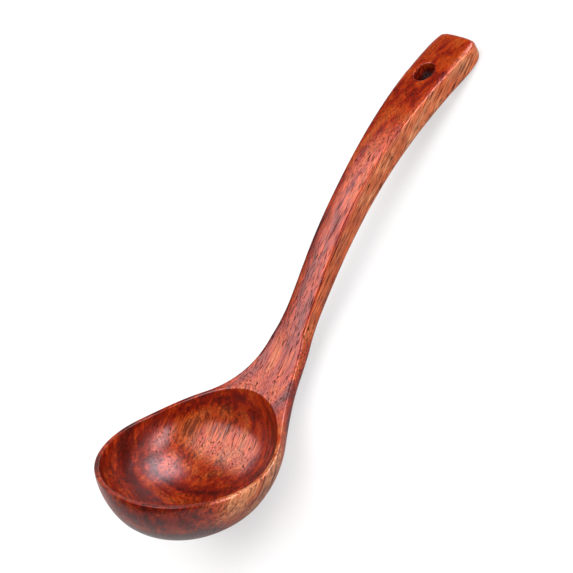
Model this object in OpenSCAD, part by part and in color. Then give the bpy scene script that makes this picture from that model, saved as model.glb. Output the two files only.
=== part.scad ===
/* [Bowl] */
// Width of the bowl's mouth, inside the rim
mouth_w = 76; // [64:1:92]
// Width of the rim's flat edge
rim_w = 2.2; // [1.5:0.1:4]
// Depth of the bowl outside, below the lowest point of the rim
bowl_depth = 32.8; // [26:0.2:42]
// Thickness of the bowl's wall at the bottom
floor_t = 6; // [4:0.2:9]
// Depth below the rim at which the bowl is widest
bulge_drop = 1.5; // [0.5:0.1:6]
// Radius of the shallow dip that the rim makes, seen from the side
dip_r = 560; // [300:10:1200]
/* [Neck] */
// Radius of the sweep from the rim up into the handle, seen from the side
neck_r = 67.5; // [50:0.5:90]
// Steepest angle of the handle above the rim
neck_angle = 55.3; // [45:0.1:68]
// Length over which the bowl narrows into the neck, seen from above
flare_l = 50; // [40:1:70]
// Reach of the blend from the bowl's underside into the back of the neck
heel_reach = 28; // [12:1:40]
// Width of the neck at its narrowest
neck_w = 15.8; // [12:0.2:24]
// Thickness of the neck behind the bowl
neck_t = 8.2; // [5:0.2:11]
/* [Handle] */
// Length of the straight part of the handle
stem_l = 37; // [6:0.5:50]
// Radius of the handle's long bend back
handle_r = 207; // [140:1:320]
// Angle that the handle bends back
bend_angle = 32.4; // [20:0.2:42]
// Length of the straight tail behind the bend
tail_l = 2.8; // [1:0.2:20]
// Width of the handle at its end
end_w = 23.8; // [16:0.2:32]
// Thickness of the handle above the neck
handle_t = 12; // [8:0.2:16]
// Length over which the two corners at the end of the handle round off
end_round = 11; // [3:0.2:14]
// Length over which the front edge of that end rounds off
front_round = 2.4; // [1:0.2:6]
// Length over which the back of that end rounds off
back_round = 16; // [4:0.2:20]
/* [Hanging hole] */
// Width of the hanging hole
hole_d = 10; // [5:0.2:12]
// Distance from the end of the handle to the middle of the hole
hole_inset = 24.6; // [14:0.2:40]
/* [Hidden] */

// Cross-sections along the bowl's front half, the handle and its rounded end
front_n = 26;
handle_n = 66;
round_n = 10;
// Points on a cross-section's underside, each top edge and the flat top
under_n = 26;
edge_n = 4;
top_n = 6;
hollow_n = 24;
$fn = 96;
// Every cut reaches this far past the surface that it goes through
overrun = 2;
// The rim's edge is at least this deep above and below its widest line, also at the lip
rim_edge = 0.5;

// Where the shape changes along the handle, as shares of its run from the neck to the end
widen_shares = [0.33, 0.99];
thicken_shares = [-0.18, 0.47];
// Where the bowl starts to turn into the neck, as shares of the bowl's radius
flare_share = 0.71;
middle_share = 0.54;
oval_share = 0.49;
run_out_share = 0.84;
// How much deeper the bowl is at its front than a bowl that is the same both ways
lean_share = 0.125;
// How oval each outline is: 1 is an ellipse, and less is a rounded rectangle
bowl_oval_share = 1.11;
neck_oval_share = 0.52;
end_oval_share = 0.38;
face_oval_share = 0.52;
front_oval_share = 1;
back_oval_share = 1.05;
// Part of the width that stays flat on the rim's side and on the handle's front
rim_flat_share = 0.985;
face_flat_share = 0.84;
// How near the closed ends come to a point
lip_share = 0.9992;
tip_share = 0.993;

/* Side view. The rim, the neck and the handle's front face follow one line of arcs and straights
   that run into each other without a kink. A stop on it is [x, z, slope]. */
half_mouth = mouth_w / 2;
belly_r = norm([half_mouth + rim_w, bulge_drop]);
belly_share = (bowl_depth - bulge_drop) / belly_r;

function degrees(l, r) = l / r * 180 / PI;
function arc(from, r, l) =
    let (a = from[2] + degrees(l, r))
    [from[0] + r * (sin(a) - sin(from[2])), from[1] - r * (cos(a) - cos(from[2])), a];
function straight(from, l) =
    [from[0] + l * cos(from[2]), from[1] + l * sin(from[2]), from[2]];

rim_low = [0, 0, 0];
neck_l = neck_r * neck_angle * PI / 180;
bend_l = handle_r * bend_angle * PI / 180;
lip_l = dip_r * asin(lip_share * belly_r / (dip_r + bulge_drop)) * PI / 180;
stem_from = neck_l;
bend_from = stem_from + stem_l;
tail_from = bend_from + bend_l;
end_l = tail_from + tail_l;
neck_end = arc(rim_low, neck_r, neck_l);
stem_end = straight(neck_end, stem_l);
bend_end = arc(stem_end, -handle_r, bend_l);

function stop(l) =
    l < 0 ? arc(rim_low, dip_r, l)
    : l < stem_from ? arc(rim_low, neck_r, l)
    : l < bend_from ? straight(neck_end, l - stem_from)
    : l < tail_from ? arc(stem_end, -handle_r, l - bend_from)
    : straight(bend_end, l - tail_from);

// How far a cross-section lies from the bowl's middle, and how deep that middle lies in it
function away(s) = s[0] * cos(s[2]) + (s[1] + bulge_drop) * sin(s[2]);
function middle_depth(s) = (s[1] + bulge_drop) * cos(s[2]) - s[0] * sin(s[2]);

function ease(t) =
    let (u = min(1, max(0, t)))
    u * u * (3 - 2 * u);
function between(a, b, t) = a + (b - a) * t;
function along(t, shares) = ease((t - shares[0]) / (shares[1] - shares[0]));
// The larger of two sizes, rounded over where they are about alike
function blend(a, b, reach) =
    let (near = max(0, reach - abs(a - b)))
    max(a, b) + near * near / (4 * reach);

// Seen from above, the bowl is a circle, and each side runs out of it and fades into the neck
flare_start = flare_share * belly_r;
flare_end = flare_start + flare_l;
flare_half = sqrt(belly_r * belly_r - flare_start * flare_start);
flare_power = flare_l * flare_start / flare_half / (flare_half - neck_w / 2);
handle_run = away(stop(end_l)) - flare_end;
function belly_half(m) =
    let (k = run_out_share * belly_r, r = sqrt(belly_r * belly_r - k * k))
    m < k ? sqrt(max(0, belly_r * belly_r - m * m)) : r - (m - k) * k / r;
function half_width(m) =
    m < flare_start ? belly_half(m)
    : m < flare_end ? between(neck_w / 2, flare_half, pow((flare_end - m) / flare_l, flare_power))
    : between(neck_w, end_w, along((m - flare_end) / handle_run, widen_shares)) / 2;
function handle_thickness(m) =
    between(neck_t, handle_t, along((m - flare_end) / handle_run, thicken_shares));

// A cross-section's outline, square to the side view's line, as [sideways, depth] points
function bulge(t, oval) = sign(t) * pow(abs(t), oval);
function corner(t, oval) = pow(1 - pow(t, 2 / oval), oval / 2);
function rounded(l, reach) = max(0, (l - end_l + reach) / reach);
function outline(l) =
    let (
        s = stop(l),
        m = away(s),
        run = (m - flare_end) / handle_run,
        t = handle_thickness(m),
        low = middle_depth(s) + belly_share * belly_half(m) * (1 - lean_share * m / belly_r),
        to_handle = ease(s[0] / half_mouth),
        deep = between(low, blend(low, t, heel_reach), to_handle),
        past = ease((m - middle_share * belly_r) / (flare_end - middle_share * belly_r)),
        mid = between(blend(rim_edge, middle_depth(s), rim_edge), t / 2, past),
        square = ease((m - oval_share * belly_r) / (flare_end - oval_share * belly_r)),
        oval = 1 / (between(1 / bowl_oval_share, 1 / neck_oval_share, square)
            + (1 / end_oval_share - 1 / neck_oval_share) * max(0, run)),
        flat = between(rim_flat_share, face_flat_share, past),
        w = half_width(m) * corner(rounded(l, end_round), face_oval_share),
        front = corner(rounded(l, front_round), front_oval_share),
        under = max(rim_edge, deep - mid) * corner(rounded(l, back_round), back_oval_share),
        turn = acos(pow(flat, 1 / oval)),
        over = mid / corner(flat, oval) * front,
        top = mid * (1 - front)
    )
    concat(
        [for (i = [0 : under_n]) let (a = 180 * i / under_n)
            [w * bulge(cos(a), oval), mid + under * bulge(sin(a), oval)]],
        [for (i = [1 : edge_n]) let (a = turn * i / edge_n)
            [-w * bulge(cos(a), oval), mid - over * bulge(sin(a), oval)]],
        [for (i = [1 : top_n - 1])
            [between(-w * flat, w * flat, i / top_n), top]],
        [for (i = [edge_n : -1 : 1]) let (a = turn * i / edge_n)
            [w * bulge(cos(a), oval), mid - over * bulge(sin(a), oval)]]
    );
function placed(l) =
    let (s = stop(l))
    [for (p = outline(l)) [s[0] + sin(s[2]) * p[1], p[0], s[1] - cos(s[2]) * p[1]]];

// Cross-sections stand closer together towards the lip and round the end, where the form closes
round_from = end_l - end_round;
lengths = concat(
    [for (i = [0 : front_n - 1]) -lip_l * cos(90 * i / front_n)],
    [for (i = [0 : handle_n]) round_from * i / handle_n],
    [for (i = [1 : round_n]) round_from + end_round * tip_share * sin(90 * i / round_n)]
);
rings = [for (l = lengths) placed(l)];
ring_n = len(rings[0]);

module carved_blank() {
    points = [for (ring = rings) each ring];
    last = (len(rings) - 1) * ring_n;
    sides = [
        for (k = [0 : len(rings) - 2], j = [0 : ring_n - 1])
            let (
                a = k * ring_n + j,
                b = k * ring_n + (j + 1) % ring_n
            )
            each [[a, b, b + ring_n], [a, b + ring_n, a + ring_n]]
    ];
    ends = [
        [for (j = [ring_n - 1 : -1 : 0]) j],
        [for (j = [0 : ring_n - 1]) last + j]
    ];
    polyhedron(points, concat(sides, ends));
}

// The hollow is turned, so its mouth is a true circle seen from above
module hollow() {
    deep = bowl_depth - floor_t;
    above = neck_end[1] + overrun;
    rotate_extrude()
        polygon(concat(
            [[0, above], [half_mouth, above]],
            [for (i = [0 : hollow_n]) let (a = 90 * i / hollow_n)
                [half_mouth * cos(a), -deep * sin(a)]]
        ));
}

module hanging_hole() {
    s = stop(end_l - hole_inset);
    translate([s[0], 0, s[1]])
        rotate([0, -s[2], 0])
            translate([0, 0, -handle_t - overrun])
                cylinder(d = hole_d, h = handle_t + 2 * overrun);
}

/* The spoon lies as it does on a table, on the bowl's underside and the end of the handle.
   The line that touches both of them is turned level, and the origin is under its middle. */
function back_point(ring) = ring[under_n / 2];
belly_points = [
    for (k = [0 : len(rings) - 1])
        if (away(stop(lengths[k])) < belly_r) back_point(rings[k])
];
end_points = [
    for (k = [0 : len(rings) - 1])
        if (lengths[k] > round_from - hole_inset) back_point(rings[k])
];
rest_angle = min([
    for (e = end_points)
        max([for (b = belly_points) atan2(e[2] - b[2], e[0] - b[0])])
]);
function level_x(p) = p[0] * cos(rest_angle) + p[2] * sin(rest_angle);
function level_z(p) = p[2] * cos(rest_angle) - p[0] * sin(rest_angle);
level_xs = [for (ring = rings, p = ring) level_x(p)];
table_z = min([for (ring = rings, p = ring) level_z(p)]);

module ladle() {
    color("#9c4321")
        translate([-(min(level_xs) + max(level_xs)) / 2, 0, -table_z])
            rotate([0, rest_angle, 0])
                difference() {
                    carved_blank();
                    hollow();
                    hanging_hole();
                }
}

ladle();
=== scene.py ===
import math

import bmesh
import bpy
from mathutils import Euler, Matrix, Vector


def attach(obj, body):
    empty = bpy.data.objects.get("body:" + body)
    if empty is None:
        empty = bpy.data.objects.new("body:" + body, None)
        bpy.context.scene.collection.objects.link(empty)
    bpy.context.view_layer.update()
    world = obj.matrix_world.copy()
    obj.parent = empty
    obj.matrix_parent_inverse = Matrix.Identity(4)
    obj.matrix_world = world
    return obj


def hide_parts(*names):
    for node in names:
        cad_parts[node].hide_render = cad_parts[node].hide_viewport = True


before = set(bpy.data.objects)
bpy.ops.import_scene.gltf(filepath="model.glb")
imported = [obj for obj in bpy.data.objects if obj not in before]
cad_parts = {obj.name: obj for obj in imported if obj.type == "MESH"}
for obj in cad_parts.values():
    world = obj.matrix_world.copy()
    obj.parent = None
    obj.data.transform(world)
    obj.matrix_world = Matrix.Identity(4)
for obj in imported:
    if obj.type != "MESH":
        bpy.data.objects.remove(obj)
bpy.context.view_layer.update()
print("frame loaded")


# One node with its settings and links. A link is a node, for its first output, or a socket.
def addNode(tree, kind, settings=None, inputs=None):
    node = tree.nodes.new(kind)
    for name, value in (settings or {}).items():
        if name == "stops":  # a colour ramp's places and colours
            node.color_ramp.elements.remove(node.color_ramp.elements[1])
            node.color_ramp.elements[0].position, node.color_ramp.elements[0].color = value[0]
            for place, colour in value[1:]:
                node.color_ramp.elements.new(place).color = colour
        else:
            setattr(node, name, value)
    for socket, value in (inputs or {}).items():
        if isinstance(value, bpy.types.Node):
            value = value.outputs[0]
        if isinstance(value, bpy.types.NodeSocket):
            tree.links.new(value, node.inputs[socket])
        else:
            node.inputs[socket].default_value = value
    return node


def toLinear(hexColour):
    parts = [int(hexColour[i:i + 2], 16) / 255 for i in (1, 3, 5)]
    return tuple(c / 12.92 if c <= 0.04045 else ((c + 0.055) / 1.055) ** 2.4 for c in parts) + (1,)


# Padauk, carved and sanded, then brushed with clear lacquer: deep orange-red heartwood with short
# dark flames, and open pores that show as dark lines where the cut runs with the grain and as
# dots where it runs across. The lacquer gives a soft gloss, which the pores break up.
# Lengths and widths are in millimetres.
wood = {
    # From dark red through orange to the pale wood of the sides, each with its tone
    "colours": ((0.22, "#5c0f05"), (0.42, "#962006"), (0.54, "#b63a09"), (0.7, "#c0521b"),
                (0.9, "#d46c3a"), (1, "#e08a58")),
    "sideTone": 0.34,  # how much paler the wood is on the handle's sides
    "grainTilt": 5.0,  # degrees between the grain and the table
    "pithAcross": 60.0, "pithBelow": -70.0,  # from the table's middle to the tree's middle
    "bandWidth": 6.0, "bandLength": 160.0,
    "wander": 5.0, "wanderWidth": 25.0, "wanderLength": 60.0,
    "figureWidth": 4.0, "figureLength": 12.0, "figureTone": 0.1,
    "noiseRange": (0.35, 0.65),  # most of a noise lies between these
    "flameColour": "#4c0f05", "flameDark": 0.7, "flameWidth": 1.3, "flameLength": 10.0,
    "flameSoft": 0.16,  # how slowly a flame darkens from its edge
    "patchWidth": 14.0, "patchLength": 30.0,  # the patches in which flames gather
    "patchEdges": (0.38, 0.62), "patchFlames": (0.41, 0.6),  # a higher limit has fewer flames
    "handleStart": (-60.0, -35.0), "handleFlames": 0.3, "sideFlames": -0.22,  # added to that limit
    "fibreWidth": 0.4, "fibreLength": 14.0,  # real fibres are finer, drawn coarser to show
    "fibreTones": (0.5, 1.45),
    "mottleWidth": 0.8, "mottleLength": 6.0,
    "poreColour": "#380b05", "poreDark": 0.85, "poreEdges": (0.58, 0.69),
    "poreWidth": 0.27, "poreLength": 11.0,  # real pores are 0.2 mm wide, drawn wider to show
    "poreSink": -0.8, "relief": 0.1, "reliefShown": 0.2,
    "gloss": 0.22, "poreGloss": 0.7, "shine": 0.85,
    "lustre": 0.2,  # the fibres under the lacquer shine in their own colour
    "poreLustre": 0.95,  # an open pore gives back only its own dark colour
    "openPore": 0.6,  # as dark as this, a pore is fully open
    "lacquer": 0.2, "lacquerRoughness": 0.14,
    "zoneEdge": (0.85, 1.4), "zoneFray": 0.5,  # the zones below fade between these shares, unevenly
}
# Where the heartwood is paler or darker, and where shade and light are painted into it: middle and
# reach in mm, and by how much
toneAndPaintedLightZones = [
    ((-116, 30, 44), (22, 26, 26), -0.12),  # the bowl's front, on the far side
    ((-58, 2, 6), (16, 24, 12), -0.06),  # the bowl's back wall
    ((-92, 8, 14), (38, 28, 24), 0.06),  # the bowl's floor, towards the front
    ((-42, 0, 17), (20, 26, 8), 0.12),  # the neck's face
    ((-34, -14, 8), (20, 8, 14), -0.16),  # the neck's near side: painted shade
    ((14, 2, 18), (40, 16, 14), -0.1),  # the narrow part of the handle
    ((20, 9.5, 18), (70, 4.5, 22), -0.22),  # painted shade along the handle's far edge
    ((-124, -24, 46), (28, 28, 28), -0.16),  # painted shade on the bowl's front, outside
    ((102, 0, 14), (26, 14, 12), -0.05),  # the wide part of the handle
    ((-84, -50, 18), (48, 22, 34), 0.55),  # the bowl's near side, lighter: partly paler wood and partly painted light
    ((101.6, 0, 10.2), (6.4, 6.4, 9), -0.4),  # painted shade inside the hanging hole
]


def lacqueredPadauk():
    material = bpy.data.materials.new("lacqueredPadauk")
    material.use_nodes = True
    tree = material.node_tree
    tree.nodes.clear()
    place = addNode(tree, "ShaderNodeTexCoord").outputs["Object"]
    # Millimetres along and across the grain
    grain = addNode(tree, "ShaderNodeMapping", None, {
        "Vector": place, "Scale": (1000, 1000, 1000),
        "Rotation": (0, math.radians(wood["grainTilt"]), 0)})

    # The grain wanders a little on its way along the blank
    slow = addNode(tree, "ShaderNodeVectorMath", {"operation": "DIVIDE"}, {
        0: grain, 1: (wood["wanderLength"], wood["wanderWidth"], wood["wanderWidth"])})
    wander = addNode(tree, "ShaderNodeTexNoise", None, {
        "Vector": slow, "Scale": 1, "Detail": 2, "Roughness": 0.5})
    shift = addNode(tree, "ShaderNodeVectorMath", {"operation": "SUBTRACT"}, {
        0: wander.outputs["Color"], 1: (0.5, 0.5, 0.5)})
    bent = addNode(tree, "ShaderNodeVectorMath", {"operation": "MULTIPLY_ADD"}, {
        0: shift, 1: (0, wood["wander"], wood["wander"]), 2: grain})
    parts = addNode(tree, "ShaderNodeSeparateXYZ", None, {0: bent})

    # Growth bands, round the tree's middle
    across = addNode(tree, "ShaderNodeCombineXYZ", None, {
        "Y": parts.outputs[1], "Z": parts.outputs[2]})
    growth = addNode(tree, "ShaderNodeVectorMath", {"operation": "DISTANCE"}, {
        0: across, 1: (0, wood["pithAcross"], wood["pithBelow"])})
    bandAt = addNode(tree, "ShaderNodeMath", {"operation": "DIVIDE"}, {
        0: growth.outputs["Value"], 1: wood["bandWidth"]})
    bandAlong = addNode(tree, "ShaderNodeMath", {"operation": "DIVIDE"}, {
        0: parts.outputs[0], 1: wood["bandLength"]})
    bandPlace = addNode(tree, "ShaderNodeCombineXYZ", None, {"X": bandAlong, "Y": bandAt})
    bands = addNode(tree, "ShaderNodeTexNoise", None, {
        "Vector": bandPlace, "Scale": 1, "Detail": 2, "Roughness": 0.5})

    # Every other mark starts as noise that is drawn out along the grain
    marks = {}
    for name, path, detail, roughness in (
            ("flame", bent, 3, 0.6), ("patch", grain, 1, 0.5), ("figure", bent, 2, 0.5),
            ("fibre", grain, 2, 0.6), ("mottle", grain, 2, 0.6), ("pore", grain, 0, 0.5)):
        length, width = wood[name + "Length"], wood[name + "Width"]
        drawnOut = addNode(tree, "ShaderNodeVectorMath", {"operation": "DIVIDE"}, {
            0: path, 1: (length, width, width)})
        marks[name] = addNode(tree, "ShaderNodeTexNoise", None, {
            "Vector": drawnOut, "Scale": 1, "Detail": detail, "Roughness": roughness})

    # Flames: short dark tongues along the grain, gathered in some places and missing in others
    lengthwise = addNode(tree, "ShaderNodeSeparateXYZ", None, {0: grain}).outputs[0]
    fewer = addNode(tree, "ShaderNodeMapRange", None, {
        "Value": lengthwise, "From Min": wood["handleStart"][0],
        "From Max": wood["handleStart"][1], "To Min": 0, "To Max": wood["handleFlames"]})
    onSide = addNode(tree, "ShaderNodeAttribute", {"attribute_name": "sideShare"}).outputs["Fac"]
    sparse = addNode(tree, "ShaderNodeMath", {"operation": "MULTIPLY_ADD"}, {
        0: onSide, 1: wood["sideFlames"], 2: fewer})
    flameFrom = addNode(tree, "ShaderNodeMapRange", None, {
        "Value": marks["patch"], "From Min": wood["patchEdges"][0],
        "From Max": wood["patchEdges"][1], "To Min": wood["patchFlames"][0],
        "To Max": wood["patchFlames"][1]})
    flameStart = addNode(tree, "ShaderNodeMath", {"operation": "ADD"}, {0: flameFrom, 1: sparse})
    flameEnd = addNode(tree, "ShaderNodeMath", {"operation": "ADD"}, {
        0: flameStart, 1: wood["flameSoft"]})
    flameDark = addNode(tree, "ShaderNodeMapRange", {"interpolation_type": "SMOOTHSTEP"}, {
        "Value": marks["flame"], "From Min": flameStart, "From Max": flameEnd,
        "To Min": 0, "To Max": wood["flameDark"]})

    # Figure: soft clouds of paler and darker wood
    low, high = wood["noiseRange"]
    figureTone = addNode(tree, "ShaderNodeMapRange", {"interpolation_type": "SMOOTHSTEP"}, {
        "Value": marks["figure"], "From Min": low, "From Max": high,
        "To Min": -wood["figureTone"], "To Max": wood["figureTone"]})

    # Fibres are fine lines, and the mottle shows as dashes where the handle bends off the grain
    mixed = addNode(tree, "ShaderNodeMath", {"operation": "ADD"}, {
        0: marks["fibre"], 1: marks["mottle"]})
    fibreTone = addNode(tree, "ShaderNodeMapRange", None, {
        "Value": mixed, "From Min": 2 * low, "From Max": 2 * high,
        "To Min": wood["fibreTones"][0], "To Max": wood["fibreTones"][1]})

    # Pores: dark vessels that the cut opens, long along the grain
    poreDark = addNode(tree, "ShaderNodeMapRange", {"interpolation_type": "SMOOTHSTEP"}, {
        "Value": marks["pore"], "From Min": wood["poreEdges"][0],
        "From Max": wood["poreEdges"][1], "To Min": 0, "To Max": wood["poreDark"]})

    # The tone of the bands, clouds, sides and zones together picks the wood's colour. Some zones
    # are painted shade and one is painted light
    clouded = addNode(tree, "ShaderNodeMath", {"operation": "ADD"}, {0: bands, 1: figureTone})
    tone = addNode(tree, "ShaderNodeMath", {"operation": "MULTIPLY_ADD"}, {
        0: onSide, 1: wood["sideTone"], 2: clouded})
    for middle, reach, change in toneAndPaintedLightZones:
        spot = addNode(tree, "ShaderNodeMapping", {"vector_type": "TEXTURE"}, {
            "Vector": place, "Location": Vector(middle) * 0.001, "Scale": Vector(reach) * 0.001})
        away = addNode(tree, "ShaderNodeVectorMath", {"operation": "LENGTH"}, {0: spot})
        uneven = addNode(tree, "ShaderNodeMath", {"operation": "MULTIPLY_ADD"}, {
            0: marks["flame"], 1: wood["zoneFray"], 2: away.outputs["Value"]})
        amount = addNode(tree, "ShaderNodeMapRange", {"interpolation_type": "SMOOTHSTEP"}, {
            "Value": uneven, "From Min": wood["zoneEdge"][0], "From Max": wood["zoneEdge"][1],
            "To Min": change, "To Max": 0})
        tone = addNode(tree, "ShaderNodeMath", {"operation": "ADD"}, {0: tone, 1: amount})
    plain = addNode(tree, "ShaderNodeValToRGB", {
        "stops": [(stop, toLinear(colour)) for stop, colour in wood["colours"]]}, {0: tone})
    toned = addNode(tree, "ShaderNodeMix", {"data_type": "RGBA", "blend_type": "MULTIPLY"}, {
        0: 1.0, 6: plain, 7: fibreTone})
    flamed = addNode(tree, "ShaderNodeMix", {"data_type": "RGBA"}, {
        0: flameDark, 6: toned.outputs[2], 7: toLinear(wood["flameColour"])})
    pored = addNode(tree, "ShaderNodeMix", {"data_type": "RGBA"}, {
        0: poreDark, 6: flamed.outputs[2], 7: toLinear(wood["poreColour"])})

    # The lacquer sinks a little into the pores and the fibres, and is dull in the pores
    relief = addNode(tree, "ShaderNodeMath", {"operation": "MULTIPLY_ADD"}, {
        0: poreDark, 1: wood["poreSink"], 2: marks["fibre"]})
    bump = addNode(tree, "ShaderNodeBump", None, {
        "Strength": wood["reliefShown"], "Distance": wood["relief"] * 0.001, "Height": relief})
    gloss, lustre = [addNode(tree, "ShaderNodeMapRange", None, {
        "Value": poreDark, "From Min": 0, "From Max": wood["openPore"],
        "To Min": wood[whole], "To Max": wood[pore]})
        for whole, pore in (("gloss", "poreGloss"), ("lustre", "poreLustre"))]
    shader = addNode(tree, "ShaderNodeBsdfPrincipled", None, {
        "Base Color": pored.outputs[2], "Metallic": lustre, "Roughness": gloss,
        "Specular IOR Level": wood["shine"], "Normal": bump, "Coat Weight": wood["lacquer"],
        "Coat Roughness": wood["lacquerRoughness"], "Coat Normal": bump})
    addNode(tree, "ShaderNodeOutputMaterial", None, {"Surface": shader})
    return material


padauk = lacqueredPadauk()
print("wood ready")


# The ladle's sizes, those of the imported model, in millimetres and degrees
ladle = {
    "mouthWidth": 76, "rimWidth": 2.2, "bowlDepth": 32.8, "floorThickness": 6,
    "bulgeDrop": 1.5, "dipRadius": 560, "rimEdge": 0.5,
    "neckRadius": 67.5, "neckAngle": 55.3, "flareLength": 50, "heelReach": 28,
    "neckWidth": 15.8, "neckThickness": 8.2,
    "stemLength": 37, "bendRadius": 207, "bendAngle": 32.4, "tailLength": 2.8,
    "endWidth": 23.8, "handleThickness": 12,
    "endRound": 11, "frontRound": 2.4, "backRound": 16,  # how the handle's end is rounded off
    "holeWidth": 10, "holeInset": 24.6,
    "crown": 0.5, "crownFrom": 57, "crownReach": 26,  # the sanded handle is a little round across
    "sandedMouth": 0.6, "sandedHole": 0.5,  # how far the sanding rounds these edges
    "wornEnd": 26,  # the ridges are worn this far from the handle's end
    "webReach": 50,  # the faces round the mouth are laid anew this far behind its middle
    "restAngle": 45.2652, "restMiddle": 87.10225, "restTable": -33.6662,  # as it lies on a table
}
# Where the shape changes, as shares of the bowl's radius or of the handle's run
ladleShares = {
    "flare": 0.71,  # the bowl's sides start to flare into the neck
    "middle": 0.54, "oval": 0.49,  # the widest line leaves the rim, and the section squares up
    "runOut": 0.84, "lean": 0.125,  # the belly ends in a straight line, and is shallower there
    "widen": (0.33, 0.99), "thicken": (-0.18, 0.47),  # along the handle
    # How square a section is, from 0 for a box through 1 for an oval
    "bowlOval": 1.11, "neckOval": 0.52, "endOval": 0.38,
    "faceOval": 0.52, "frontOval": 1, "backOval": 1.05,
    "rimFlat": 0.985, "faceFlat": 0.84,  # the flat's share of the width across the front
    "lip": 0.9992, "tip": 0.993,  # the last sections stand just short of the ends
    # The handle's sides, in radians round the back, in shares of the edge and along the neck
    "sideTurn": (0.7, 1.0), "sideEdge": (0.25, 0.65), "sideStart": (0.4, 1.4),
    "worn": 1 / 3,  # of the end's rounding, where the wear of the ridges starts
}
# How fine the mesh is
ladleMesh = {"frontSteps": 56, "backSteps": 236, "roundSteps": 14, "underPoints": 80,
             "edgePoints": 6, "facePoints": 20, "webRings": 10, "edgeRings": 4,
             "hollowRings": 46, "floorSteps": 48,
             "holeSteps": 8, "holeWebRings": 4, "holeEdgeRings": 3, "holeRings": 8,
             "depthTries": 4, "softenings": 3, "endSoftenings": 6, "softness": 0.5,
             "ridgeColumns": 1, "wornColumns": 2}

size = {name: value * 0.001 for name, value in ladle.items() if not name.endswith("Angle")}
neckTurn, bendTurn = math.radians(ladle["neckAngle"]), math.radians(ladle["bendAngle"])
mouthRadius = size["mouthWidth"] / 2
hollowDepth = size["bowlDepth"] - size["floorThickness"]
bellyRadius = math.hypot(mouthRadius + size["rimWidth"], size["bulgeDrop"])
bellyShare = (size["bowlDepth"] - size["bulgeDrop"]) / bellyRadius
stemFrom = size["neckRadius"] * neckTurn
bendFrom = stemFrom + size["stemLength"]
tailFrom = bendFrom + size["bendRadius"] * bendTurn
endAt = tailFrom + size["tailLength"]
lipAt = size["dipRadius"] * math.asin(
    ladleShares["lip"] * bellyRadius / (size["dipRadius"] + size["bulgeDrop"]))


def arcOn(start, radius, length):
    x, z, slope = start
    turned = slope + length / radius
    return (x + radius * (math.sin(turned) - math.sin(slope)),
            z - radius * (math.cos(turned) - math.cos(slope)), turned)


def straightOn(start, length):
    x, z, slope = start
    return x + length * math.cos(slope), z + length * math.sin(slope), slope


neckEnd = arcOn((0, 0, 0), size["neckRadius"], stemFrom)
stemEnd = straightOn(neckEnd, size["stemLength"])
bendEnd = arcOn(stemEnd, -size["bendRadius"], size["bendRadius"] * bendTurn)


# The side view's line, as x, z and slope at a length along it from the rim's lowest point
def stopAt(length):
    if length < 0:
        return arcOn((0, 0, 0), size["dipRadius"], length)
    if length < stemFrom:
        return arcOn((0, 0, 0), size["neckRadius"], length)
    if length < bendFrom:
        return straightOn(neckEnd, length - stemFrom)
    if length < tailFrom:
        return arcOn(stemEnd, -size["bendRadius"], length - bendFrom)
    return straightOn(bendEnd, length - tailFrom)


def awayOf(stop):
    x, z, slope = stop
    return x * math.cos(slope) + (z + size["bulgeDrop"]) * math.sin(slope)


def ease(t):
    t = min(1, max(0, t))
    return t * t * (3 - 2 * t)


def between(a, b, t):
    return a + (b - a) * t


def along(t, shares):
    return ease((t - shares[0]) / (shares[1] - shares[0]))


# The larger of two sizes, rounded over where they are about alike
def blendOf(a, b, reach):
    near = max(0, reach - abs(a - b))
    return max(a, b) + near * near / (4 * reach)


def corner(t, oval):
    return max(0, 1 - max(0, t) ** (2 / oval)) ** (oval / 2)


flareStart = ladleShares["flare"] * bellyRadius
flareEnd = flareStart + size["flareLength"]
flareHalf = math.sqrt(bellyRadius ** 2 - flareStart ** 2)
flarePower = size["flareLength"] * flareStart / flareHalf / (flareHalf - size["neckWidth"] / 2)
handleRun = awayOf(stopAt(endAt)) - flareEnd


# Half the belly's width, which ends in a straight line instead of closing
def bellyHalf(reach):
    runOut = ladleShares["runOut"] * bellyRadius
    if reach < runOut:
        return math.sqrt(max(0, bellyRadius ** 2 - reach ** 2))
    half = math.sqrt(bellyRadius ** 2 - runOut ** 2)
    return half - (reach - runOut) * runOut / half


def halfWidth(reach):
    if reach < flareStart:
        return bellyHalf(reach)
    if reach < flareEnd:
        return between(size["neckWidth"] / 2, flareHalf,
                       ((flareEnd - reach) / size["flareLength"]) ** flarePower)
    return between(size["neckWidth"], size["endWidth"],
                   along((reach - flareEnd) / handleRun, ladleShares["widen"])) / 2


# A cross-section square to that line: where it is, how wide and deep it is, how it is rounded
# and how far its flat falls to the edges
def sectionAt(length):
    stop = stopAt(length)
    x, z, slope = stop
    share = ladleShares
    reach = awayOf(stop)
    middleDepth = (z + size["bulgeDrop"]) * math.cos(slope) - x * math.sin(slope)
    run = (reach - flareEnd) / handleRun
    thickness = between(size["neckThickness"], size["handleThickness"],
                        along(run, share["thicken"]))
    leaning = 1 - share["lean"] * reach / bellyRadius
    low = middleDepth + bellyShare * bellyHalf(reach) * leaning
    deep = between(low, blendOf(low, thickness, size["heelReach"]), ease(x / mouthRadius))
    past, square = [along(reach / bellyRadius, (share[name], flareEnd / bellyRadius))
                    for name in ("middle", "oval")]
    middle = between(blendOf(size["rimEdge"], middleDepth, size["rimEdge"]), thickness / 2, past)
    oval = 1 / (between(1 / share["bowlOval"], 1 / share["neckOval"], square)
                + (1 / share["endOval"] - 1 / share["neckOval"]) * max(0, run))
    flat = between(share["rimFlat"], share["faceFlat"], past)
    front, back, face = [
        corner((length - endAt + size[reached]) / size[reached], share[rounded])
        for reached, rounded in (("frontRound", "frontOval"), ("backRound", "backOval"),
                                 ("endRound", "faceOval"))]
    under = max(size["rimEdge"], deep - middle) * back
    over = middle / corner(flat, oval) * front
    half = halfWidth(reach) * face
    crown = size["crown"] * ease((length - size["crownFrom"]) / size["crownReach"]) * front
    return (stop, (half, under, over), (middle, oval, math.acos(flat ** (1 / oval))),
            (crown, crown / over, 0))


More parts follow.
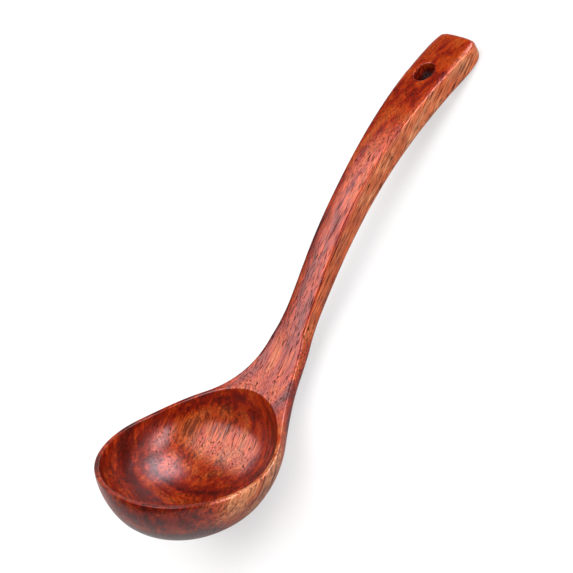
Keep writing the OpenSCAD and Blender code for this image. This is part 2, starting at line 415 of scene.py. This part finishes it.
# Cross-sections stand closer together towards the lip and round the end, where the form closes
roundFrom = endAt - size["endRound"]
lengths = [-lipAt * math.cos(math.pi / 2 * i / ladleMesh["frontSteps"])
           for i in range(ladleMesh["frontSteps"])]
lengths += [roundFrom * i / ladleMesh["backSteps"] for i in range(ladleMesh["backSteps"] + 1)]
lengths += [roundFrom + size["endRound"] * ladleShares["tip"]
            * math.sin(math.pi / 2 * i / ladleMesh["roundSteps"])
            for i in range(1, ladleMesh["roundSteps"] + 1)]


# The tree lays a grid round the cross-sections, in four strips of columns: the underside, one top
# edge, the flat and the other edge
def loftTree():
    tree = bpy.data.node_groups.new("loftLadle", "GeometryNodeTree")
    tree.interface.new_socket("Sections", in_out="INPUT", socket_type="NodeSocketGeometry")
    for name in ("Section count", "Under points", "Edge points", "Face points"):
        tree.interface.new_socket(name, in_out="INPUT", socket_type="NodeSocketInt")
    tree.interface.new_socket("Wood", in_out="INPUT", socket_type="NodeSocketMaterial")
    tree.interface.new_socket("Ladle", in_out="OUTPUT", socket_type="NodeSocketGeometry")
    entry = addNode(tree, "NodeGroupInput").outputs
    ends = [entry["Under points"]]
    for name in ("Edge points", "Face points", "Edge points"):
        ends.append(addNode(tree, "ShaderNodeMath", {"operation": "ADD"}, {
            0: ends[-1], 1: entry[name]}))
    underEnd, flatFrom, _, around = ends
    columns = addNode(tree, "ShaderNodeMath", {"operation": "ADD"}, {0: around, 1: 1.0})
    grid = addNode(tree, "GeometryNodeMeshGrid", None, {
        "Vertices X": entry["Section count"], "Vertices Y": columns})

    # Each point's cross-section and its column round it
    index = addNode(tree, "GeometryNodeInputIndex")
    middleOfIndex = addNode(tree, "ShaderNodeMath", {"operation": "ADD"}, {0: index, 1: 0.5})
    divided = addNode(tree, "ShaderNodeMath", {"operation": "DIVIDE"}, {
        0: middleOfIndex, 1: columns})
    section = addNode(tree, "ShaderNodeMath", {"operation": "FLOOR"}, {0: divided})
    before = addNode(tree, "ShaderNodeMath", {"operation": "MULTIPLY"}, {0: section, 1: columns})
    column = addNode(tree, "ShaderNodeMath", {"operation": "SUBTRACT"}, {0: index, 1: before})
    sampled = []
    for name in ("sectionPlace", "sectionSpan", "sectionForm", "sectionCrown"):
        stored = addNode(tree, "GeometryNodeInputNamedAttribute", {"data_type": "FLOAT_VECTOR"},
                         {"Name": name})
        sample = addNode(tree, "GeometryNodeSampleIndex",
                         {"data_type": "FLOAT_VECTOR", "domain": "POINT"},
                         {"Geometry": entry["Sections"], "Value": stored, "Index": section})
        sampled.append(addNode(tree, "ShaderNodeSeparateXYZ", None, {0: sample}).outputs)
    (x, z, slope), (half, under, over), (middle, oval, turn), (_, crown, _) = sampled

    # On the underside the angle runs half round, and on the edges up to where the flat starts
    isTop = addNode(tree, "ShaderNodeMath", {"operation": "GREATER_THAN"}, {
        0: column, 1: underEnd})
    underShare = addNode(tree, "ShaderNodeMath", {"operation": "DIVIDE"}, {
        0: column, 1: underEnd})
    underAngle = addNode(tree, "ShaderNodeMath", {"operation": "MULTIPLY"}, {
        0: underShare, 1: math.pi})
    pastUnder = addNode(tree, "ShaderNodeMath", {"operation": "SUBTRACT"}, {
        0: column, 1: underEnd})
    toEnd = addNode(tree, "ShaderNodeMath", {"operation": "SUBTRACT"}, {0: around, 1: column})
    upLeft, upRight = [
        addNode(tree, "ShaderNodeMath", {"operation": "DIVIDE", "use_clamp": True}, {
            0: steps, 1: entry["Edge points"]})
        for steps in (pastUnder, toEnd)]
    edgeShare = addNode(tree, "ShaderNodeMath", {"operation": "MINIMUM"}, {0: upLeft, 1: upRight})
    edgeAngle = addNode(tree, "ShaderNodeMath", {"operation": "MULTIPLY"}, {0: edgeShare, 1: turn})
    angle = addNode(tree, "ShaderNodeMix", {"data_type": "FLOAT"}, {
        0: isTop, 2: underAngle, 3: edgeAngle})
    cosine = addNode(tree, "ShaderNodeMath", {"operation": "COSINE"}, {0: angle})
    sine = addNode(tree, "ShaderNodeMath", {"operation": "SINE"}, {0: angle})
    wide = addNode(tree, "ShaderNodeMath", {"operation": "ABSOLUTE"}, {0: cosine})
    high = addNode(tree, "ShaderNodeMath", {"operation": "ABSOLUTE"}, {0: sine})
    wideOval = addNode(tree, "ShaderNodeMath", {"operation": "POWER"}, {0: wide, 1: oval})
    highOval = addNode(tree, "ShaderNodeMath", {"operation": "POWER"}, {0: high, 1: oval})

    # Across the flat the points run evenly from one side, at -1, to the other, at 1
    underSide = addNode(tree, "ShaderNodeMath", {"operation": "SIGN"}, {0: cosine})
    pastEdge = addNode(tree, "ShaderNodeMath", {"operation": "SUBTRACT"}, {0: column, 1: flatFrom})
    flatShare = addNode(tree, "ShaderNodeMath", {"operation": "DIVIDE", "use_clamp": True}, {
        0: pastEdge, 1: entry["Face points"]})
    topSide = addNode(tree, "ShaderNodeMath", {"operation": "MULTIPLY_ADD"}, {
        0: flatShare, 1: 2.0, 2: -1.0})
    side = addNode(tree, "ShaderNodeMix", {"data_type": "FLOAT"}, {
        0: isTop, 2: underSide, 3: topSide})
    sideways = addNode(tree, "ShaderNodeMath", {"operation": "MULTIPLY"}, {0: side, 1: half})
    y = addNode(tree, "ShaderNodeMath", {"operation": "MULTIPLY"}, {0: sideways, 1: wideOval})
    # The flat falls a little towards its edges
    sideSquared = addNode(tree, "ShaderNodeMath", {"operation": "MULTIPLY"}, {
        0: topSide, 1: topSide})
    fall = addNode(tree, "ShaderNodeMath", {"operation": "MULTIPLY_ADD"}, {
        0: sideSquared, 1: crown, 2: -1.0})
    upwards = addNode(tree, "ShaderNodeMath", {"operation": "MULTIPLY"}, {0: over, 1: fall})
    reach = addNode(tree, "ShaderNodeMix", {"data_type": "FLOAT"}, {0: isTop, 2: under, 3: upwards})
    depth = addNode(tree, "ShaderNodeMath", {"operation": "MULTIPLY_ADD"}, {
        0: reach, 1: highOval, 2: middle})

    # The cross-section stands square to the side view's line
    slopeSine = addNode(tree, "ShaderNodeMath", {"operation": "SINE"}, {0: slope})
    slopeCosine = addNode(tree, "ShaderNodeMath", {"operation": "COSINE"}, {0: slope})
    placeX = addNode(tree, "ShaderNodeMath", {"operation": "MULTIPLY_ADD"}, {
        0: slopeSine, 1: depth, 2: x})
    drop = addNode(tree, "ShaderNodeMath", {"operation": "MULTIPLY"}, {0: slopeCosine, 1: depth})
    placeZ = addNode(tree, "ShaderNodeMath", {"operation": "SUBTRACT"}, {0: z, 1: drop})
    position = addNode(tree, "ShaderNodeCombineXYZ", None, {"X": placeX, "Y": y, "Z": placeZ})
    placed = addNode(tree, "GeometryNodeSetPosition", None, {
        "Geometry": grid, "Position": position})
    real = addNode(tree, "GeometryNodeRealizeInstances", None, {0: placed})
    finished = addNode(tree, "GeometryNodeSetMaterial", None, {
        "Geometry": real, "Material": entry["Wood"]})
    addNode(tree, "NodeGroupOutput", None, {0: finished})
    return tree


def loftedBlank():
    mesh = bpy.data.meshes.new("ladleSections")
    mesh.from_pydata([(length, 0, 0) for length in lengths], [], [])
    sections = [sectionAt(length) for length in lengths]
    for i, name in enumerate(("sectionPlace", "sectionSpan", "sectionForm", "sectionCrown")):
        values = mesh.attributes.new(name, "FLOAT_VECTOR", "POINT")
        values.data.foreach_set("vector", [v for section in sections for v in section[i]])
    holder = bpy.data.objects.new("ladleSections", mesh)
    bpy.context.collection.objects.link(holder)
    modifier = holder.modifiers.new("loft", "NODES")
    modifier.node_group = loftTree()
    values = {"Section count": len(lengths), "Under points": ladleMesh["underPoints"],
              "Edge points": ladleMesh["edgePoints"], "Face points": ladleMesh["facePoints"],
              "Wood": padauk}
    for item in modifier.node_group.interface.items_tree:
        if item.in_out == "INPUT" and item.name in values:
            modifier[item.identifier] = values[item.name]
    graph = bpy.context.evaluated_depsgraph_get()
    lofted = bpy.data.meshes.new_from_object(holder.evaluated_get(graph))
    holder.modifiers.clear()
    bpy.data.objects.remove(holder)
    return lofted


def bridge(bm, first, second):
    for i in range(len(first)):
        j = (i + 1) % len(first)
        bm.faces.new((first[i], first[j], second[j], second[i]))


def fan(bm, ring, centre):
    middle = bm.verts.new(centre)
    for i in range(len(ring)):
        bm.faces.new((ring[i], ring[(i + 1) % len(ring)], middle))


# A corner rounded from one point to another, past the sharp corner between them
def roundedSteps(start, sharp, end, count):
    for i in range(1, count + 1):
        t = i / count
        yield start * (1 - t) ** 2 + sharp * (2 * t * (1 - t)) + end * t ** 2


# The edge of a block of the grid, as a loop of its points
def blockEdge(grid, rows, cols):
    (r0, r1), (c0, c1) = rows, cols
    step = 1 if c1 > c0 else -1
    loop = [grid[r0][c] for c in range(c0, c1, step)]
    loop += [grid[r][c1] for r in range(r0, r1)]
    loop += [grid[r1][c] for c in range(c1, c0, -step)]
    return loop + [grid[r][c0] for r in range(r1, r0, -1)]


def openBlock(bm, grid, rows, cols):
    inner = [grid[r][c] for r in range(rows[0] + 1, rows[1])
             for c in range(min(cols) + 1, max(cols))]
    bmesh.ops.delete(bm, geom=inner, context="VERTS")


# The rim's side of the blank, whose height follows the side view's line
def faceHeight(x):
    radius = size["dipRadius"] if x < 0 else size["neckRadius"]
    return radius - math.sqrt(radius ** 2 - x ** 2)


# The turned hollow, straight down inside the rim and then an oval floor: the radius and height at
# a share of the way from its edge to its middle
def hollowPoint(startHeight, share):
    turned = math.asin(min(1, max(0, -startHeight / hollowDepth)))
    path = [(mouthRadius, startHeight)] if startHeight > 0 else []
    for i in range(ladleMesh["floorSteps"] + 1):
        angle = between(turned, math.pi / 2, i / ladleMesh["floorSteps"])
        path.append((mouthRadius * math.cos(angle), -hollowDepth * math.sin(angle)))
    spans = [math.dist(a, b) for a, b in zip(path, path[1:])]
    left = share * sum(spans)
    for a, b, span in zip(path, path[1:], spans):
        if left <= span:
            return [between(a[k], b[k], left / span) for k in (0, 1)]
        left -= span
    return path[-1]


# The faces over the bowl give way to a web that runs to the mouth, its edge and the hollow
def carveHollow(bm, grid, flatStart, flatEnd):
    lastRow = ladleMesh["frontSteps"] + round(
        size["neckRadius"] * math.asin(size["webReach"] / size["neckRadius"])
        / roundFrom * ladleMesh["backSteps"])
    rows, cols = (0, lastRow), (flatStart, flatEnd)
    outer = blockEdge(grid, rows, cols)
    openBlock(bm, grid, rows, cols)
    angles = [math.atan2(v.co.y, v.co.x) for v in outer]
    radii = [math.hypot(v.co.x, v.co.y) for v in outer]
    sanded = size["sandedMouth"]
    ring = outer
    for step in range(1, ladleMesh["webRings"] + 1):
        share = ease(step / ladleMesh["webRings"])
        inner = []
        for angle, radius in zip(angles, radii):
            r = between(radius, mouthRadius + sanded, share)
            x = r * math.cos(angle)
            inner.append(bm.verts.new((x, r * math.sin(angle), faceHeight(x))))
        bridge(bm, ring, inner)
        ring = inner
    curves, starts = [], []
    for angle, v in zip(angles, ring):
        edge = Vector((mouthRadius * math.cos(angle), mouthRadius * math.sin(angle), 0))
        edge.z = faceHeight(edge.x)
        down = edge.z - sanded
        r = hollowPoint(down, 0)[0]
        end = Vector((r * math.cos(angle), r * math.sin(angle), down))
        curves.append(list(roundedSteps(v.co.copy(), edge, end, ladleMesh["edgeRings"])))
        starts.append(down)
    for step in range(ladleMesh["edgeRings"]):
        inner = [bm.verts.new(curve[step]) for curve in curves]
        bridge(bm, ring, inner)
        ring = inner
    for step in range(1, ladleMesh["hollowRings"]):
        inner = []
        for angle, start in zip(angles, starts):
            r, z = hollowPoint(start, step / ladleMesh["hollowRings"])
            inner.append(bm.verts.new((r * math.cos(angle), r * math.sin(angle), z)))
        bridge(bm, ring, inner)
        ring = inner
    fan(bm, ring, (0, 0, -hollowDepth))


# The hanging hole, bored square to the handle's face, with its own along, sideways and depth
def boreHole(bm, grid, faceMiddle, underMiddle):
    holeAt = endAt - size["holeInset"]
    holeX, holeZ, slope = stopAt(holeAt)
    tangent = Vector((math.cos(slope), 0, math.sin(slope)))
    inwards = Vector((math.sin(slope), 0, -math.cos(slope)))
    start = Vector((holeX, 0, holeZ))
    bend = size["bendRadius"]
    _, (halfThere, _, _), (_, ovalThere, _), (crownThere, _, _) = sectionAt(holeAt)
    fall = (crownThere * corner(ladleShares["faceFlat"], ovalThere)
            / (halfThere * ladleShares["faceFlat"]) ** 2)

    def faceDepth(u, y):
        return bend - math.sqrt(bend ** 2 - u ** 2) + fall * y ** 2

    # The back is curved, so its depth under a point on the face is found in a few tries
    def underDepth(u, y):
        depth = size["handleThickness"]
        for _ in range(ladleMesh["depthTries"]):
            turned = math.asin(u / (bend - depth))
            _, (half, under, _), (middle, oval, _), _ = sectionAt(holeAt + bend * turned)
            depth = middle + under * corner(abs(y) / half, oval)
        return bend - (bend - depth) * math.cos(turned)

    def placed(u, y, depth):
        return start + tangent * u + Vector((0, y, 0)) + inwards * depth

    centreRow = ladleMesh["frontSteps"] + round(holeAt / roundFrom * ladleMesh["backSteps"])
    steps = ladleMesh["holeSteps"]
    rows = (centreRow - steps, centreRow + steps)
    radius, sanded = size["holeWidth"] / 2, size["sandedHole"]
    webRings, edgeRings = ladleMesh["holeWebRings"], ladleMesh["holeEdgeRings"]
    firstCorner = math.radians(225)  # the angle at which a block's edge begins
    walls = []
    for cols, depthAt, way in (((faceMiddle - steps, faceMiddle + steps), faceDepth, 1),
                               ((underMiddle + steps, underMiddle - steps), underDepth, -1)):
        outer = blockEdge(grid, rows, cols)
        openBlock(bm, grid, rows, cols)
        angles = [firstCorner - 2 * math.pi * i / len(outer) for i in range(len(outer))]
        flats = [((v.co - start).dot(tangent), v.co.y) for v in outer]
        ring = outer
        for step in range(1, webRings + 1):
            points = []
            for (u, y), angle in zip(flats, angles):
                u = between(u, (radius + sanded) * math.cos(angle), step / webRings)
                y = between(y, (radius + sanded) * math.sin(angle), step / webRings)
                points.append(placed(u, y, depthAt(u, y)))
            inner = [bm.verts.new(p) for p in points]
            bridge(bm, ring, inner)
            ring = inner
        curves = []
        for angle, v in zip(angles, ring):
            u, y = radius * math.cos(angle), radius * math.sin(angle)
            depth = depthAt(u, y)
            curves.append(list(roundedSteps(v.co.copy(), placed(u, y, depth),
                                            placed(u, y, depth + way * sanded), edgeRings)))
        for step in range(edgeRings):
            inner = [bm.verts.new(curve[step]) for curve in curves]
            bridge(bm, ring, inner)
            ring = inner
        walls.append(ring)
    ring = walls[0]
    for step in range(1, ladleMesh["holeRings"]):
        inner = [bm.verts.new(a.co.lerp(b.co, step / ladleMesh["holeRings"]))
                 for a, b in zip(*walls)]
        bridge(bm, ring, inner)
        ring = inner
    bridge(bm, ring, walls[1])


# 1 on the handle's sides, below the ridges of the front and above those of the back
def sideShare(length, column, under, edge, around):
    if column <= under:
        turned = math.pi * min(column, under - column) / under
        share = 1 - along(turned, ladleShares["sideTurn"])
    else:
        fromSide = min(column - under, around - column) / edge
        share = 1 - along(fromSide, ladleShares["sideEdge"])
    return share * along(length / stemFrom, ladleShares["sideStart"])


def carveLadle():
    mesh = loftedBlank()
    print("blank lofted:", len(mesh.vertices), "points")
    under, edge, flat = (ladleMesh[name] for name in ("underPoints", "edgePoints", "facePoints"))
    columns = under + 2 * edge + flat + 1
    bm = bmesh.new()
    bm.from_mesh(mesh)
    shares = bm.verts.layers.float.new("sideShare")
    bm.verts.ensure_lookup_table()
    grid = [[bm.verts[k * columns + j] for j in range(columns)] for k in range(len(lengths))]
    bmesh.ops.weld_verts(bm, targetmap={row[-1]: row[0] for row in grid})
    grid = [row[:-1] for row in grid]
    flatStart, flatEnd = under + edge, under + edge + flat
    ridges, wornRidges = [], []
    beside, besideWorn = ladleMesh["ridgeColumns"], ladleMesh["wornColumns"]
    for row, length in zip(grid, lengths):
        for c in (flatStart, flatEnd):
            ridges += row[c - beside:c + beside + 1]
            if ladleShares["worn"] * size["endRound"] < endAt - length < size["wornEnd"]:
                wornRidges += row[c - besideWorn:c + besideWorn + 1]
        for column, v in enumerate(row):
            v[shares] = sideShare(length, column, under, edge, columns - 1)
    boreHole(bm, grid, flatStart + flat // 2, under // 2)
    carveHollow(bm, grid, flatStart, flatEnd)
    for row in (grid[0], grid[-1]):
        centre = sum((v.co for v in row), Vector()) / len(row)
        fan(bm, row, centre)
    # Sanding takes the sharpness off the rim's and the handle's ridges
    for verts, rounds in ((ridges, "softenings"), (wornRidges, "endSoftenings")):
        for _ in range(ladleMesh[rounds]):
            bmesh.ops.smooth_vert(bm, verts=[v for v in verts if v.is_valid],
                                  factor=ladleMesh["softness"],
                                  use_axis_x=True, use_axis_y=True, use_axis_z=True)
    # Laid on the table, on the bowl's underside and the end of the handle
    turn = Matrix.Rotation(math.radians(ladle["restAngle"]), 4, "Y")
    bmesh.ops.transform(bm, verts=bm.verts, matrix=Matrix.Translation(
        (-size["restMiddle"], 0, -size["restTable"])) @ turn)
    bmesh.ops.recalc_face_normals(bm, faces=bm.faces)
    openEdges = [e for e in bm.edges if len(e.link_faces) != 2]
    print("ladle carved:", len(bm.faces), "faces,", len(openEdges), "open edges")
    bm.to_mesh(mesh)
    bm.free()
    mesh.materials.clear()  # a copy of an evaluated mesh needs its material again
    mesh.materials.append(padauk)
    mesh.shade_smooth()
    piece = bpy.data.objects.new("carvedLadle", mesh)
    bpy.context.collection.objects.link(piece)
    return piece


carved = carveLadle()
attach(carved, "root")
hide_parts("ladle")


# Levels are brightness, where 1 is white. Sizes and places are in metres.
studio = {
    "floorWidth": 6.0, "floorCells": 8, "paperColour": "#b4b3b2", "bounceColour": "#9d9c9b",
    "paperGlow": 0.55, "glowFrom": 0.3, "glowTo": 0.9,
    "skyLevel": 0.16, "ceilingLevel": 0.03, "ceilingFrom": 0.05,
}
softBoxes = {
    "overheadBox": {"level": 2.6, "size": (1.4, 2.5), "place": (-0.09, 0.35, 1.0),
                    "target": (-0.09, 0.35, 0), "colour": "#ffffff", "fadeFrom": 0.5,
                    "mirrored": True},
    "sideBox": {"level": 6.2, "size": (1.45, 1.4), "place": (1.5, -0.4, 0.65),
                "target": (-0.08, 0, 0.03), "colour": "#f1f5ff", "fadeFrom": 0.35,
                "mirrored": True},
    "frontBox": {"level": 6.4, "size": (2.6, 1.05), "place": (0.7, -1.5, 0.5),
                 "target": (0, 0, 0.03), "colour": "#ffffff", "fadeFrom": 0.0,
                 "mirrored": True},
}
# The fill hangs where the front one does, and lights the wood without a shine on the lacquer
softBoxes["fillBox"] = dict(softBoxes["frontBox"], level=5.0, mirrored=False)


# How much a ray is one that shows the background: seen straight, in a reflection or through glass
def backgroundRays(tree):
    rays = addNode(tree, "ShaderNodeLightPath").outputs
    seen = addNode(tree, "ShaderNodeMath", {"operation": "MAXIMUM"}, {
        0: rays["Is Camera Ray"], 1: rays["Is Glossy Ray"]})
    return addNode(tree, "ShaderNodeMath", {"operation": "MAXIMUM"}, {
        0: seen, 1: rays["Is Transmission Ray"]})


def paleFloor():
    bm = bmesh.new()
    cells = studio["floorCells"]
    bmesh.ops.create_grid(bm, x_segments=cells, y_segments=cells, size=studio["floorWidth"] / 2)
    mesh = bpy.data.meshes.new("paleFloor")
    bm.to_mesh(mesh)
    bm.free()
    floor = bpy.data.objects.new("paleFloor", mesh)
    bpy.context.collection.objects.link(floor)
    material = bpy.data.materials.new("mattePaper")  # a paper roll: even, matte and pale
    material.use_nodes = True
    tree = material.node_tree
    tree.nodes.clear()
    # It throws less light back up than it shows, as a table in a dark room does
    bounce = addNode(tree, "ShaderNodeMix", {"data_type": "RGBA"}, {
        0: backgroundRays(tree), 6: toLinear(studio["bounceColour"]),
        7: toLinear(studio["paperColour"])})
    paper = addNode(tree, "ShaderNodeBsdfDiffuse", None, {"Color": bounce.outputs[2]})
    # The glow lightens the shadow that the camera sees, and turns the far floor white
    away = addNode(tree, "ShaderNodeVectorMath", {"operation": "LENGTH"}, {
        0: addNode(tree, "ShaderNodeTexCoord").outputs["Object"]})
    level = addNode(tree, "ShaderNodeMapRange", {"interpolation_type": "SMOOTHSTEP"}, {
        "Value": away.outputs["Value"], "From Min": studio["glowFrom"],
        "From Max": studio["glowTo"], "To Min": studio["paperGlow"], "To Max": 1.0})
    glow = addNode(tree, "ShaderNodeMath", {"operation": "MULTIPLY"}, {
        0: addNode(tree, "ShaderNodeLightPath").outputs["Is Camera Ray"], 1: level})
    light = addNode(tree, "ShaderNodeEmission", None, {"Strength": glow})
    both = addNode(tree, "ShaderNodeAddShader", None, {0: paper, 1: light})
    addNode(tree, "ShaderNodeOutputMaterial", None, {"Surface": both})
    mesh.materials.append(material)
    return floor


paleFloor()


# A softbox is brightest in the middle and fades towards its edges
def softBox(name, box):
    lamp = bpy.data.lights.new(name, "AREA")
    lamp.shape = "RECTANGLE"
    lamp.size, lamp.size_y = box["size"]
    lamp.energy = box["level"] * math.pi * box["size"][0] * box["size"][1]
    lamp.color = toLinear(box["colour"])[:3]
    lamp.use_nodes = True
    tree = lamp.node_tree
    tree.nodes.clear()
    across = addNode(tree, "ShaderNodeNewGeometry").outputs["Parametric"]
    centred = addNode(tree, "ShaderNodeVectorMath", {"operation": "MULTIPLY_ADD"}, {
        0: across, 1: (2, 2, 0), 2: (-1, -1, 0)})
    folded = addNode(tree, "ShaderNodeVectorMath", {"operation": "ABSOLUTE"}, {0: centred})
    sides = addNode(tree, "ShaderNodeSeparateXYZ", None, {0: folded})
    fades = [addNode(tree, "ShaderNodeMapRange", {"interpolation_type": "SMOOTHSTEP"}, {
        "Value": sides.outputs[i], "From Min": box["fadeFrom"], "From Max": 1.0,
        "To Min": 1.0, "To Max": 0.0}) for i in (0, 1)]
    strength = addNode(tree, "ShaderNodeMath", {"operation": "MULTIPLY"}, {
        0: fades[0], 1: fades[1]})
    light = addNode(tree, "ShaderNodeEmission", None, {"Strength": strength})
    addNode(tree, "ShaderNodeOutputLight", None, {"Surface": light})
    hung = bpy.data.objects.new(name, lamp)
    hung.location = box["place"]
    aim = Vector(box["target"]) - Vector(box["place"])
    hung.rotation_euler = aim.to_track_quat("-Z", "Y").to_euler()
    hung.visible_glossy = box["mirrored"]
    bpy.context.collection.objects.link(hung)


for name, box in softBoxes.items():
    softBox(name, box)


# White all round at the height of the table, and a dark studio ceiling in reflections
def studioSky():
    world = bpy.data.worlds.new("studioSky")
    bpy.context.scene.world = world
    world.use_nodes = True
    tree = world.node_tree
    tree.nodes.clear()
    rays = addNode(tree, "ShaderNodeLightPath").outputs
    direction = addNode(tree, "ShaderNodeTexCoord").outputs["Generated"]
    height = addNode(tree, "ShaderNodeSeparateXYZ", None, {0: direction}).outputs[2]
    ceiling = addNode(tree, "ShaderNodeMapRange", {"interpolation_type": "SMOOTHSTEP"}, {
        "Value": height, "From Min": 0.0, "From Max": studio["ceilingFrom"],
        "To Min": 1.0, "To Max": studio["ceilingLevel"]})
    shown = addNode(tree, "ShaderNodeMath", {"operation": "MAXIMUM"}, {
        0: ceiling, 1: rays["Is Camera Ray"]})
    level = addNode(tree, "ShaderNodeMix", {"data_type": "FLOAT"}, {
        0: backgroundRays(tree), 2: studio["skyLevel"], 3: shown})
    sky = addNode(tree, "ShaderNodeBackground", None, {"Color": (1, 1, 1, 1), "Strength": level})
    addNode(tree, "ShaderNodeOutputWorld", None, {"Surface": sky})


studioSky()
print("floor and light ready")

# The photograph's camera: its place in metres, its turn in degrees and its lens in millimetres
view = {
    "place": (-0.027852, -0.51477, 0.499545), "turn": (28.1363, 40.099, -52.7084),
    "lens": 103.883, "sensorWidth": 36, "near": 0.01, "far": 20,
}


def placeCamera():
    lens = bpy.data.cameras.new("photoCamera")
    lens.lens = view["lens"]
    lens.sensor_width = view["sensorWidth"]
    lens.clip_start, lens.clip_end = view["near"], view["far"]
    camera = bpy.data.objects.new("photoCamera", lens)
    bpy.context.collection.objects.link(camera)
    turn = Euler([math.radians(angle) for angle in view["turn"]])
    camera.matrix_world = Matrix.Translation(view["place"]) @ turn.to_matrix().to_4x4()
    bpy.context.scene.camera = camera


placeCamera()
bpy.context.scene.view_settings.view_transform = "Standard"

print("scene ready")
